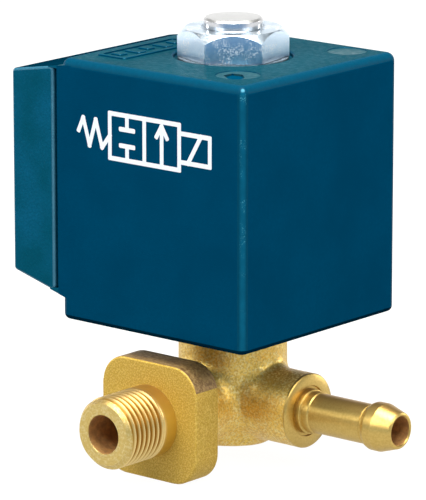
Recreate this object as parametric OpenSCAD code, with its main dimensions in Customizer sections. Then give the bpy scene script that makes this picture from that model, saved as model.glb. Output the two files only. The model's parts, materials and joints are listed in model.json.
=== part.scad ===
// Direct-acting 2/2 solenoid valve: forged brass body with a male-thread inlet and a
// hose-tail outlet, a plunger tube, and an encapsulated coil clamped by a stud and nut.
// Millimetres, +Z up. The origin is the centre of the inlet flange's seating face.
// The inlet thread points along -Y, and the hose tail points along +X.

/* [Valve body] */
// Distance from the flange seating face to the stem axis
stem_y = 17.3; // [17:0.1:19]
// Width of the inlet flange
flange_w = 16.4; // [15:0.1:18]
// Height of the inlet flange
flange_h = 16; // [15:0.1:18]
// Thickness of the inlet flange
flange_t = 4.6; // [3:0.1:5]
// Corner radius of the inlet flange
flange_r = 4; // [2:0.1:5]
// Radius of the vertical neck under the coil
neck_r = 7.35; // [7.3:0.05:8]
// Radius of the horizontal inlet and outlet barrels
barrel_r = 5.05; // [4.8:0.05:5.5]
// Distance from the stem axis to the outlet boss face
outlet_x = 13.2; // [12:0.1:16]
// Depth of the rounded lower boss below the port axes
foot_z = 6; // [5.6:0.1:7]

/* [Inlet thread, G 1/8] */
// Major radius of the thread
thread_r = 4.864; // [4.8:0.001:4.9]
// Length of the thread from the seating face
thread_l = 9.2; // [8:0.1:12]
// Length of the chamfer at the thread's end
thread_chamfer = 0.9; // [0.5:0.1:1.2]
// Radius of the inlet bore
inlet_r = 2.6; // [2:0.1:3]

/* [Hose tail] */
// Radius of the plain tube
hose_tube_r = 2.7; // [2.6:0.05:2.8]
// Radius of the barb's crest
barb_r = 3.25; // [3:0.05:3.6]
// Distance from the stem axis to the tip
hose_tip_x = 28.7; // [27:0.1:34]
// Radius of the outlet bore
outlet_r = 1.95; // [1.5:0.05:2]

/* [Stem] */
// Outer radius of the plunger tube
tube_r = 5; // [5:0.05:5.05]
// Wall of the plunger tube
tube_wall = 0.4; // [0.35:0.05:0.45]
// Radius of the M8 stud over its thread crests
stud_r = 3.95; // [3.9:0.01:4]
// Height of the stud's top above the port axes
stud_top_z = 51.85; // [51.6:0.05:54]
// Plunger travel from closed to open
stroke = 1.2; // [0.6:0.1:1.2]

/* [Coil] */
// Width of the coil case along X
case_w = 31.7; // [31.5:0.1:36]
// Depth of the coil case along Y
case_d = 32.3; // [31:0.1:36]
// Height of the coil case
case_h = 35.6; // [35.6:0.1:38]
// Radius of the case's vertical edges
case_edge_r = 1.2; // [0.8:0.1:1.5]
// Wall of the case
case_wall = 1.6; // [1.2:0.1:1.6]
// Offset of the case from the stem axis along X
case_dx = -0.4; // [-0.6:0.05:0]
// Offset of the case from the stem axis along Y
case_dy = -0.35; // [-0.6:0.05:0]
// Number of turns drawn in the return spring
spring_turns = 6.5; // [5:0.5:7]

/* [Terminal housing] */
// Distance that the housing stands out from the case
housing_x = 8.6; // [8.5:0.1:10]
// Width of the joint groove between the case and the housing
groove = 0.65; // [0.4:0.05:0.8]

/* [Coil nut, M8 thin] */
// Width across flats
nut_af = 13; // [12.8:0.1:13.2]
// Height of the nut
nut_h = 3.9; // [3.5:0.1:4.5]

/* [Hidden] */
$fn = 96;

// Small overlap that keeps cuts clean
eps = 0.05;

// Body heights, all measured from the port axes
neck_top = 10.6;
bowl_z = -1;
chamber_floor = 2.9;
chamber_r = 4.7;
thread_pocket_floor = 5.1;
thread_pocket_r = 6;
seat_z = 4.4;
seat_r = 1.9;
orifice_r = 1.1;
feed_r = 1;
feed_y = -3.4;
inlet_end_y = -2.75;
outlet_start_x = 0.2;
drill_low_z = 0.3;

// Hose-tail stations along X
press_start_x = 6;
press_r = 3;
face_recess_r = 3.4;
face_recess = 0.3;
shoulder_r = 3.05;
shoulder_end_x = outlet_x + 0.75;
step_r = 2.85;
step_end_x = outlet_x + 1.9;
barb_back_x = hose_tip_x - 4.6;
barb_land_x = hose_tip_x - 4.1;
barb_land_l = 1.4;
tip_r = 2.45;

// Stem heights
tube_foot_z = 6.3;
tube_foot_r = 5.6;
tube_foot_t = 1;
base_flange_r = 7;
base_flange_t = 0.5;
tube_bore = tube_r - tube_wall;
o_ring_mean_r = 5.3;
plunger_r = tube_bore - 0.05;
plunger_foot = seat_z + 0.2;
plunger_top = 24;
pole_gap = 0.1;
core_bottom = plunger_top + stroke + pole_gap;
collar_h = 0.45;
shading_r = 3.6;
shading_bore = 2.8;
shading_h = 1;
seal_r = 2.5;
seal_t = 2;
spring_pocket_r = 2.4;
spring_foot = 16;
spring_mean_r = 1.85;
spring_wire_r = 0.25;
ring_sides = 8;
rings_per_turn = 12;
spring_rings = floor(spring_turns * rings_per_turn);
dead_turns = 0.75;

// Coil heights
case_z = neck_top + base_flange_t;
case_top = case_z + case_h;
case_roof = 1.8;
coil_hole_r = tube_r + 0.1;
recess_r = 8;
recess_depth = 0.65;
recess_z = case_top - recess_depth;
washer_t = 0.5;
washer_r = 7.4;
washer_bore = stud_r + 0.25;
nut_z = recess_z + washer_t;
nut_bore = stud_r + 0.05;
nut_chamfer_h = 1.05;
nut_facing = 40;
base_t = 1.6;
yoke_t = 2;
yoke_z = case_z + base_t;
yoke_top = case_top - case_roof - eps;
yoke_half_y = 13.9;
yoke_half_x = 10.5;
yoke_base_half_x = 12.6;
sleeve_r = 6.1;
sleeve_l = 10;
bobbin_z = yoke_z + yoke_t;
bobbin_top = yoke_top - yoke_t;
bobbin_bore = 6.2;
bobbin_core_r = 7.2;
bobbin_rim_r = 11.7;
bobbin_rim_t = 1.3;
winding_r = 10.9;
winding_z = bobbin_z + bobbin_rim_t + eps;
winding_h = bobbin_top - bobbin_rim_t - eps - winding_z;
tape_r = 11.2;

// Housing and terminal stations
case_left = case_dx - case_w / 2;
housing_tip_x = case_left - housing_x;
housing_root_x = case_left - groove;
spigot_end_x = case_left + case_wall + 0.6;
bay_floor_x = spigot_end_x - 1.6;
root_low = case_z + 3.2;
root_high = case_top - 0.5;
tip_low = case_z + 5.6;
tip_high = case_top - 2.6;
window_half_y = 11;
window_low = case_z + 8.9;
window_high = case_z + 29.9;
spigot_gap = 0.1;
slot_l = spigot_end_x - bay_floor_x + 2 * eps;
bay_half_y = 9.6;
bay_low = window_low + 1.4;
bay_high = window_high - 1.4;
blade_w = 6.3;
blade_t = 0.8;
blade_tip_x = housing_tip_x + 1.3;
blade_tail_x = -12.6;
power_blade_y = 5.2;
power_blade_z = case_z + 21.6;
earth_blade_z = case_z + 13.3;
blade_hole_r = 0.8;
lead_r = 0.35;

// Places its children on the stem axis
module on_stem() {
    translate([0, stem_y, 0]) children();
}

// Cylinder along +X from x = from to x = to
module x_cylinder(from, to, r) {
    translate([from, 0, 0]) rotate([0, 90, 0]) cylinder(h = to - from, r = r);
}

// Cylinder along +Y from y = from to y = to
module y_cylinder(from, to, r) {
    translate([0, from, 0]) rotate([-90, 0, 0]) cylinder(h = to - from, r = r);
}

// Ring about the Z axis
module ring(r_out, r_in, z, h) {
    translate([0, 0, z]) difference() {
        cylinder(h = h, r = r_out);
        translate([0, 0, -eps]) cylinder(h = h + 2 * eps, r = r_in);
    }
}

// Block centred in X and Y with rounded vertical edges
module rounded_block(w, d, h, r) {
    translate([-w / 2 + r, -d / 2, 0]) cube([w - 2 * r, d, h]);
    translate([-w / 2, -d / 2 + r, 0]) cube([w, d - 2 * r, h]);
    for (sx = [-1, 1], sy = [-1, 1])
        translate([sx * (w / 2 - r), sy * (d / 2 - r), 0]) cylinder(h = h, r = r);
}

// Flange plate with round corners, its front face on y = 0
module flange_plate() {
    rotate([-90, 0, 0]) rounded_block(flange_w, flange_h, flange_t, flange_r);
}

// Male thread as its major cylinder, with a chamfered end
module inlet_spigot() {
    rotate([90, 0, 0]) rotate_extrude() polygon([
        [0, -eps],
        [thread_r, -eps],
        [thread_r, thread_l - thread_chamfer],
        [thread_r - thread_chamfer * 0.8, thread_l],
        [0, thread_l]
    ]);
}

// Neck that narrows to a rounded lower boss
module column() {
    foot_r = 5.6;
    foot_chamfer = 1;
    bowl_step = 0.5;
    rotate_extrude() polygon([
        [0, -foot_z],
        [foot_r - foot_chamfer, -foot_z],
        [foot_r, -foot_z + foot_chamfer],
        [neck_r - bowl_step, bowl_z - 2.4 * bowl_step],
        [neck_r, bowl_z],
        [neck_r, neck_top],
        [0, neck_top]
    ]);
}

// Inlet bore, feed hole, valve chamber, orifice and outlet bore
module flow_passages() {
    y_cylinder(-stem_y - thread_l - eps, inlet_end_y, inlet_r);
    translate([0, feed_y, drill_low_z]) cylinder(h = chamber_floor, r = feed_r);
    difference() {
        translate([0, 0, chamber_floor]) cylinder(h = neck_top, r = chamber_r);
        translate([0, 0, chamber_floor - eps])
            cylinder(h = seat_z - chamber_floor + eps, r = seat_r);
    }
    translate([0, 0, thread_pocket_floor]) cylinder(h = neck_top, r = thread_pocket_r);
    translate([0, 0, drill_low_z]) cylinder(h = neck_top, r = orifice_r);
    x_cylinder(outlet_start_x, outlet_x + eps, outlet_r);
    x_cylinder(press_start_x, outlet_x + eps, press_r);
    x_cylinder(outlet_x - face_recess, outlet_x + eps, face_recess_r);
}

module valve_body() {
    color("goldenrod") difference() {
        union() {
            flange_plate();
            inlet_spigot();
            on_stem() {
                y_cylinder(-stem_y + flange_t - eps, 0, barrel_r);
                x_cylinder(0, outlet_x, barrel_r);
                column();
            }
        }
        on_stem() flow_passages();
    }
}

module hose_barb() {
    color("gold") on_stem() rotate([0, 90, 0]) rotate_extrude() polygon([
        [outlet_r, press_start_x],
        [press_r, press_start_x],
        [press_r, outlet_x - face_recess],
        [shoulder_r, outlet_x - face_recess],
        [shoulder_r, shoulder_end_x],
        [step_r, shoulder_end_x],
        [step_r, step_end_x],
        [hose_tube_r, step_end_x],
        [hose_tube_r, barb_back_x],
        [barb_r - 0.1, barb_back_x],
        [barb_r, barb_land_x],
        [barb_r, barb_land_x + barb_land_l],
        [tip_r, hose_tip_x - 0.2],
        [tip_r - 0.2, hose_tip_x],
        [outlet_r, hose_tip_x]
    ]);
}

// Screwed ring that holds the plunger tube and carries the coil
module tube_base() {
    color("silver") on_stem() {
        base_z = tube_foot_z + tube_foot_t;
        ring(thread_pocket_r, tube_r, base_z, neck_top - base_z);
        ring(base_flange_r, tube_r, neck_top, base_flange_t);
    }
}

module armature_tube() {
    color("lightsteelblue") on_stem() {
        ring(tube_foot_r, tube_bore, tube_foot_z, tube_foot_t);
        ring(tube_r, tube_bore, tube_foot_z, recess_z - collar_h - tube_foot_z);
    }
}

// Fixed pole piece, turned in one with the threaded stud
module fixed_core() {
    chamfer = 0.35;
    color("lightgray") on_stem() difference() {
        rotate_extrude() polygon([
            [0, core_bottom],
            [tube_bore, core_bottom],
            [tube_bore, recess_z - collar_h],
            [tube_r, recess_z - collar_h],
            [tube_r, recess_z],
            [stud_r, recess_z],
            [stud_r, stud_top_z - chamfer],
            [stud_r - chamfer, stud_top_z],
            [0, stud_top_z]
        ]);
        ring(shading_r, shading_bore, core_bottom - eps, shading_h + eps);
    }
}

module shading_ring() {
    color("peru") on_stem() ring(shading_r, shading_bore, core_bottom, shading_h);
}

module body_o_ring() {
    color("black") on_stem()
        translate([0, 0, (thread_pocket_floor + tube_foot_z) / 2]) rotate_extrude()
            translate([o_ring_mean_r, 0]) circle(r = (tube_foot_z - thread_pocket_floor) / 2);
}

// Moulded case, open below, with a terminal window in its left wall
module coil_case() {
    color("midnightblue") on_stem() difference() {
        translate([case_dx, case_dy, case_z]) difference() {
            rounded_block(case_w, case_d, case_h, case_edge_r);
            translate([-case_w / 2 + case_wall, -case_d / 2 + case_wall, -eps])
                cube([case_w - 2 * case_wall, case_d - 2 * case_wall, case_h - case_roof + eps]);
        }
        cylinder(h = case_top + eps, r = coil_hole_r);
        translate([0, 0, recess_z]) cylinder(h = recess_depth + eps, r = recess_r);
        translate([case_left - eps, -window_half_y, window_low])
            cube([case_wall + 2 * eps, 2 * window_half_y, window_high - window_low]);
    }
}

// Plate that closes the case from below
module case_base() {
    fit = 0.05;
    plate_w = case_w - 2 * case_wall - 2 * fit;
    plate_d = case_d - 2 * case_wall - 2 * fit;
    color("navy") on_stem() difference() {
        translate([case_dx - plate_w / 2, case_dy - plate_d / 2, case_z])
            cube([plate_w, plate_d, base_t]);
        translate([0, 0, case_z - eps]) cylinder(h = base_t + 2 * eps, r = coil_hole_r);
    }
}

// Tapered connector housing with an open terminal bay
module terminal_housing() {
    color("steelblue") on_stem() difference() {
        union() {
            translate([0, case_dy + case_d / 2, 0]) rotate([90, 0, 0])
                linear_extrude(height = case_d) polygon([
                    [housing_root_x, root_low],
                    [housing_root_x, root_high],
                    [housing_tip_x, tip_high],
                    [housing_tip_x, tip_low]
                ]);
            translate([housing_root_x - eps, -window_half_y + spigot_gap, window_low + spigot_gap])
                cube([
                    spigot_end_x - housing_root_x + eps,
                    2 * (window_half_y - spigot_gap),
                    window_high - window_low - 2 * spigot_gap
                ]);
        }
        translate([housing_tip_x - eps, -bay_half_y, bay_low])
            cube([bay_floor_x - housing_tip_x + eps, 2 * bay_half_y, bay_high - bay_low]);
        for (side = [-1, 1])
            translate([bay_floor_x - eps, side * power_blade_y - blade_t / 2, power_blade_z - blade_w / 2])
                cube([slot_l, blade_t, blade_w]);
        translate([bay_floor_x - eps, -blade_w / 2, earth_blade_z - blade_t / 2])
            cube([slot_l, blade_w, blade_t]);
    }
}

module bobbin() {
    color("ivory") on_stem() {
        ring(bobbin_core_r, bobbin_bore, bobbin_z, bobbin_top - bobbin_z);
        ring(bobbin_rim_r, bobbin_bore, bobbin_z, bobbin_rim_t);
        ring(bobbin_rim_r, bobbin_bore, bobbin_top - bobbin_rim_t, bobbin_rim_t);
    }
}

module copper_winding() {
    color("chocolate") on_stem() ring(winding_r, bobbin_core_r, winding_z, winding_h);
}

module winding_tape() {
    color("khaki") on_stem() ring(tape_r, winding_r, winding_z, winding_h);
}

// Both ends of the winding, led out to the power blades
module winding_leads() {
    lead_start = -sqrt(tape_r * tape_r - power_blade_y * power_blade_y) + 0.15;
    color("orangered") on_stem() for (side = [-1, 1])
        translate([0, side * power_blade_y, power_blade_z])
            x_cylinder(blade_tail_x, lead_start, lead_r);
}

// Magnetic frame: two sides and a top plate bent from one strip
module yoke_frame() {
    color("dimgray") on_stem() difference() {
        union() {
            for (side = [-1, 1])
                translate([-yoke_half_x, side * (yoke_half_y - yoke_t / 2) - yoke_t / 2, bobbin_z])
                    cube([2 * yoke_half_x, yoke_t, yoke_top - bobbin_z]);
            translate([-yoke_half_x, -yoke_half_y, bobbin_top])
                cube([2 * yoke_half_x, 2 * yoke_half_y, yoke_t]);
        }
        translate([0, 0, bobbin_top - eps]) cylinder(h = yoke_t + 2 * eps, r = sleeve_r);
    }
}

module yoke_base() {
    color("gray") on_stem() difference() {
        translate([-yoke_base_half_x, -yoke_half_y, yoke_z])
            cube([2 * yoke_base_half_x, 2 * yoke_half_y, yoke_t]);
        translate([0, 0, yoke_z - eps]) cylinder(h = yoke_t + 2 * eps, r = sleeve_r);
    }
}

module flux_sleeve_upper() {
    color("slategray") on_stem() ring(sleeve_r, coil_hole_r, yoke_top - sleeve_l, sleeve_l);
}

module flux_sleeve_lower() {
    color("slategray") on_stem() ring(sleeve_r, coil_hole_r, yoke_z, sleeve_l);
}

// Flat 6.3 x 0.8 push-on blade, its tip chamfered and pierced, lying in the XZ plane
module blade() {
    chamfer = 1;
    hole_from_tip = 3.2;
    rotate([90, 0, 0]) translate([0, 0, -blade_t / 2]) difference() {
        linear_extrude(height = blade_t) polygon([
            [blade_tip_x, -blade_w / 2 + chamfer],
            [blade_tip_x + chamfer, -blade_w / 2],
            [blade_tail_x, -blade_w / 2],
            [blade_tail_x, blade_w / 2],
            [blade_tip_x + chamfer, blade_w / 2],
            [blade_tip_x, blade_w / 2 - chamfer]
        ]);
        translate([blade_tip_x + hole_from_tip, 0, -eps])
            cylinder(h = blade_t + 2 * eps, r = blade_hole_r);
    }
}

module line_blade() {
    color("whitesmoke") on_stem() translate([0, -power_blade_y, power_blade_z]) blade();
}

module neutral_blade() {
    color("whitesmoke") on_stem() translate([0, power_blade_y, power_blade_z]) blade();
}

// Earth blade, turned flat, with a leg down to the yoke base
module earth_blade() {
    leg_x = -yoke_base_half_x - blade_t;
    color("gainsboro") on_stem() {
        intersection() {
            translate([0, 0, earth_blade_z]) rotate([90, 0, 0]) blade();
            translate([blade_tip_x - 1, -blade_w, 0])
                cube([-yoke_base_half_x - blade_tip_x + 1, 2 * blade_w, case_top]);
        }
        translate([leg_x, -blade_w / 2, yoke_z])
            cube([blade_t, blade_w, earth_blade_z - yoke_z + blade_t / 2]);
    }
}

module coil_washer() {
    color("lightgray") on_stem() ring(washer_r, washer_bore, recess_z, washer_t);
}

// Hexagon nut with a chamfer on its upper corners
module coil_nut() {
    corner_r = nut_af / 2 / cos(30);
    color("silver") on_stem() translate([0, 0, nut_z]) difference() {
        intersection() {
            rotate([0, 0, nut_facing]) cylinder(h = nut_h, r = corner_r, $fn = 6);
            rotate_extrude() polygon([
                [0, 0],
                [corner_r + 1, 0],
                [corner_r + 1, nut_h - nut_chamfer_h],
                [nut_af / 2 - 0.1, nut_h],
                [0, nut_h]
            ]);
        }
        translate([0, 0, -eps]) cylinder(h = nut_h + 2 * eps, r = nut_bore);
    }
}

// Magnetic plunger with flow grooves, a spring pocket above and a seal pocket below
module plunger() {
    groove_w = 1.2;
    groove_depth = 0.8;
    color("darkgray") on_stem() difference() {
        translate([0, 0, plunger_foot]) cylinder(h = plunger_top - plunger_foot, r = plunger_r);
        translate([0, 0, spring_foot]) cylinder(h = plunger_top, r = spring_pocket_r);
        translate([0, 0, plunger_foot - eps]) cylinder(h = seal_t + eps, r = seal_r);
        for (turn = [45 : 90 : 315])
            rotate([0, 0, turn]) translate([plunger_r - groove_depth, -groove_w / 2, 0])
                cube([2, groove_w, plunger_top + eps]);
    }
}

module plunger_seal() {
    color("black") on_stem() translate([0, 0, seat_z])
        cylinder(h = plunger_foot + seal_t - seat_z, r = seal_r);
}

// Share of the spring's free height reached after a number of turns, with dead coils at both ends
function rise(turn) =
    min(max((turn - dead_turns) / (spring_turns - 2 * dead_turns), 0), 1);

// Point j of the wire's ring i
function spring_point(i, j) =
    let(
        turn = i / rings_per_turn,
        around = 360 * turn,
        side = 360 * j / ring_sides,
        foot = spring_foot + spring_wire_r,
        free = core_bottom - spring_wire_r - foot,
        out = spring_mean_r + spring_wire_r * cos(side)
    )
    [out * cos(around), out * sin(around), foot + free * rise(turn) + spring_wire_r * sin(side)];

// Compression spring as one swept wire
module return_spring() {
    points = [
        for (i = [0 : spring_rings], j = [0 : ring_sides - 1]) spring_point(i, j)
    ];
    sides = [
        for (i = [0 : spring_rings - 1], j = [0 : ring_sides - 1])
            [
                i * ring_sides + j,
                i * ring_sides + (j + 1) % ring_sides,
                (i + 1) * ring_sides + (j + 1) % ring_sides,
                (i + 1) * ring_sides + j
            ]
    ];
    start_cap = [for (j = [ring_sides - 1 : -1 : 0]) j];
    end_cap = [for (j = [0 : ring_sides - 1]) spring_rings * ring_sides + j];
    color("lightsteelblue") on_stem()
        polyhedron(points = points, faces = concat(sides, [start_cap, end_cap]));
}

valve_body();
hose_barb();
tube_base();
armature_tube();
fixed_core();
shading_ring();
body_o_ring();
coil_case();
case_base();
terminal_housing();
bobbin();
copper_winding();
winding_tape();
winding_leads();
yoke_frame();
yoke_base();
flux_sleeve_upper();
flux_sleeve_lower();
line_blade();
neutral_blade();
earth_blade();
coil_washer();
coil_nut();
plunger();
plunger_seal();
return_spring();
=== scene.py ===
"""Looks of a direct-acting solenoid valve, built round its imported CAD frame.

Shapes are worked out in millimetres from the stem axis and the height of the port axes. They become metres in
the frame's own axes when piece() finishes them.
"""

import json
import math

import bmesh
import bpy
import numpy as np
from mathutils import Matrix, Vector, noise

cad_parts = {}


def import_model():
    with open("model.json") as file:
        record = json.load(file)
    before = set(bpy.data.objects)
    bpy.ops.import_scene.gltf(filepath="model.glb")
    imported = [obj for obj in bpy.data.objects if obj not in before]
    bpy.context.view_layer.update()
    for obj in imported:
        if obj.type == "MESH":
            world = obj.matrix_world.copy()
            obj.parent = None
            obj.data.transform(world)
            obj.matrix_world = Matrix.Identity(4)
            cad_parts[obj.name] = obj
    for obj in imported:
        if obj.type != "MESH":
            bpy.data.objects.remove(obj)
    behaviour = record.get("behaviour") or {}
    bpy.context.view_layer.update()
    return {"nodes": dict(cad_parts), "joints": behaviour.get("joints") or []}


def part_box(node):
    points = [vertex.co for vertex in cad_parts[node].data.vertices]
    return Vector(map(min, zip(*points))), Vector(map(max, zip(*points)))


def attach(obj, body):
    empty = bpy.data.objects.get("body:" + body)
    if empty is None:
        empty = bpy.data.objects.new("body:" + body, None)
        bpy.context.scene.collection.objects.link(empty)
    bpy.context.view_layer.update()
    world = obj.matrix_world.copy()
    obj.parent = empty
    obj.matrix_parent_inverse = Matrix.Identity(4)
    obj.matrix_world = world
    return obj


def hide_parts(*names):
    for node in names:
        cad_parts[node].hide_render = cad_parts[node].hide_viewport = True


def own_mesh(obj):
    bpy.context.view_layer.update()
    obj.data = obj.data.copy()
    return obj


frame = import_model()

MM = 0.001
JOINTS = {j["name"]: j for j in frame["joints"]}
STEM_Y = JOINTS["coil_swivel"]["pos_m"][1] / MM
TO_FRAME = Matrix.Scale(MM, 4) @ Matrix.Translation((0, STEM_Y, 0))


def span(node, axis):
    """Lowest and highest place of a CAD node along axis 0, 1 or 2, in millimetres from the stem axis."""
    low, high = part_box(node)
    shift = STEM_Y if axis == 1 else 0
    return low[axis] / MM - shift, high[axis] / MM - shift


def about(middle, width):
    """The range of a width about its middle."""
    return middle - width / 2, middle + width / 2


def direction(azimuth, elevation):
    """Unit vector from the object towards a place seen from it at that azimuth, as the views count it."""
    a, e = math.radians(azimuth), math.radians(elevation)
    return Vector((math.sin(a) * math.cos(e), -math.cos(a) * math.cos(e), math.sin(e)))


# ---- Mesh tools ----


def placed(axis, along, u, v):
    """A point from its place along an axis and its two places across it."""
    return {"x": (along, u, v), "y": (u, along, v), "z": (u, v, along)}[axis]


def new_object(name, bm):
    """Turns a bmesh into an object with its normals facing out."""
    bmesh.ops.recalc_face_normals(bm, faces=bm.faces)
    mesh = bpy.data.meshes.new(name)
    bm.to_mesh(mesh)
    bm.free()
    made = bpy.data.objects.new(name, mesh)
    bpy.context.scene.collection.objects.link(made)
    return made


def from_points(name, points, faces):
    """Turns points and faces, each a list of point numbers, into an object."""
    mesh = bpy.data.meshes.new(name)
    mesh.from_pydata([tuple(p) for p in points], [], [tuple(f) for f in faces])
    bm = bmesh.new()
    bm.from_mesh(mesh)
    bpy.data.meshes.remove(mesh)
    return new_object(name, bm)


def rounded(section):
    """Rounds each (along, radius, fillet) corner of a section. A corner of two numbers stays sharp."""
    out = []
    steps = 6
    for i, corner in enumerate(section):
        here = np.array(corner[:2], float)
        if len(corner) < 3:
            out.append(tuple(here))
            continue
        back = np.array(section[i - 1][:2], float) - here
        ahead = np.array(section[(i + 1) % len(section)][:2], float) - here
        back /= np.linalg.norm(back)
        ahead /= np.linalg.norm(ahead)
        half = math.acos(np.clip(back @ ahead, -1, 1)) / 2
        fillet = corner[2]
        middle = here + (back + ahead) / np.linalg.norm(back + ahead) * fillet / math.sin(half)
        start = here + back * fillet / math.tan(half) - middle
        end = here + ahead * fillet / math.tan(half) - middle
        first = math.atan2(start[1], start[0])
        sweep = (math.atan2(end[1], end[0]) - first + math.pi) % math.tau - math.pi
        for k in range(steps + 1):
            angle = first + sweep * k / steps
            out.append((middle[0] + fillet * math.cos(angle), middle[1] + fillet * math.sin(angle)))
    return out


def ring_faces(a, b):
    """Faces between two rings of point numbers. A ring of one number is a point on the axis."""
    faces = []
    steps = max(len(a), len(b))
    for i in range(steps):
        j = (i + 1) % steps
        loop = [a[i % len(a)], a[j % len(a)], b[j % len(b)], b[i % len(b)]]
        faces.append(list(dict.fromkeys(loop)))
    return faces


def lathe(name, section, axis="z", steps=128, centre=(0, 0, 0)):
    """Solid of revolution from (along, radius) points in order. Ends with radius 0 close it on its axis."""
    points, rings = [], []
    for along, radius in section:
        first = len(points)
        if radius < 1e-6:
            points.append(placed(axis, along, 0, 0))
            rings.append([first])
            continue
        for k in range(steps):
            turn = math.tau * k / steps
            points.append(placed(axis, along, radius * math.cos(turn), radius * math.sin(turn)))
        rings.append(list(range(first, first + steps)))
    pairs = list(zip(rings, rings[1:]))
    if len(rings[0]) > 1:
        pairs.append((rings[-1], rings[0]))
    faces = [face for a, b in pairs if len(a) + len(b) > 2 for face in ring_faces(a, b)]
    return from_points(name, np.array(points) + centre, faces)


def rounded_prism(name, corners, corner_r, ends, edges=(0, 0), axis="z", grow=(0, 0), arc=9):
    """Convex polygon with corners rounded to corner_r, extruded between ends, with its end edges rounded.

    corners go anticlockwise. grow moves the outline out at each end, for a tapered solid.
    """
    corners = [np.array(c, float) for c in corners]
    bm = bmesh.new()
    for i, corner in enumerate(corners):
        before = corner - corners[i - 1]
        after = corners[(i + 1) % len(corners)] - corner
        out_before = np.array([before[1], -before[0]]) / np.linalg.norm(before)
        out_after = np.array([after[1], -after[0]]) / np.linalg.norm(after)
        centre = corner - corner_r * (out_before + out_after) / (1 + out_before @ out_after)
        for end, edge, more, inward in zip(ends, edges, grow, (1, -1)):
            for tilt in np.linspace(0, math.pi / 2, arc if edge else 1):
                radius = corner_r + more - edge * (1 - math.cos(tilt))
                along = end + inward * edge * (1 - math.sin(tilt))
                for turn in np.arange(4 * arc) * math.tau / (4 * arc):
                    u = centre[0] + radius * math.cos(turn)
                    v = centre[1] + radius * math.sin(turn)
                    bm.verts.new(placed(axis, along, u, v))
    bmesh.ops.remove_doubles(bm, verts=bm.verts, dist=1e-5)
    hull = bmesh.ops.convex_hull(bm, input=bm.verts)
    spare = {g for g in hull["geom_interior"] + hull["geom_unused"] if isinstance(g, bmesh.types.BMVert)}
    bmesh.ops.delete(bm, geom=list(spare), context="VERTS")
    bmesh.ops.dissolve_limit(bm, angle_limit=math.radians(0.2), verts=bm.verts, edges=bm.edges)
    return new_object(name, bm)


def rectangle(u, v):
    """Anticlockwise corners of a rectangle from its two ranges."""
    return [(u[0], v[0]), (u[1], v[0]), (u[1], v[1]), (u[0], v[1])]


def combine(target, cutters, operation="DIFFERENCE"):
    """Cuts the cutters from target, joins them to it or keeps what both hold, and removes them."""
    for cutter in cutters:
        modifier = target.modifiers.new("combine", "BOOLEAN")
        modifier.operation = operation
        modifier.solver = "MANIFOLD"
        modifier.object = cutter
        graph = bpy.context.evaluated_depsgraph_get()
        result = bpy.data.meshes.new_from_object(target.evaluated_get(graph))
        target.modifiers.clear()
        target.data = result
        bpy.data.objects.remove(cutter)
    return target


def join(target, others):
    """Joins the others to target and removes them."""
    return combine(target, others, "UNION")


def tube(name, points, sides):
    """Closed tube from rings of points, each with the same number of sides."""
    rings = np.arange(len(points)).reshape(-1, sides).tolist()
    faces = [face for a, b in zip(rings, rings[1:]) for face in ring_faces(a, b)]
    return from_points(name, points, [*faces, rings[0], rings[-1]])


def drill(name, r, low, high, steps=48, centre=(0, 0, 0)):
    """Upright cylinder that cuts a plain hole."""
    return lathe(name, [(low, 0), (low, r), (high, r), (high, 0)], steps=steps, centre=centre)


def block(name, x, y, z, corner_r=0.01, edges=(0, 0), grow=(0, 0)):
    """Bar along x with rounded corners."""
    return rounded_prism(name, rectangle(y, z), corner_r, x, edges, axis="x", grow=grow)


def piece(made, body, finishes, replaces=(), sharp=32, pick=None):
    """Finishes a shape as a piece: metres, smooth shading with crisp corners, materials and body.

    pick chooses among the finishes from a face's centre, in millimetres, and its normal.
    """
    data = made.data
    data.materials.clear()
    for finish in finishes:
        data.materials.append(finish)
    numbers = {finish: number for number, finish in enumerate(finishes)}
    for face in data.polygons:
        face.use_smooth = True
        face.material_index = numbers[pick(face.center, face.normal)] if pick else 0
    data.transform(TO_FRAME)
    data.set_sharp_from_angle(angle=math.radians(sharp))
    weights = made.modifiers.new("weighted_normals", "WEIGHTED_NORMAL")
    weights.keep_sharp = True
    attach(made, body)
    if replaces:
        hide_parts(*replaces)
    return made


# ---- Materials ----


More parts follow.
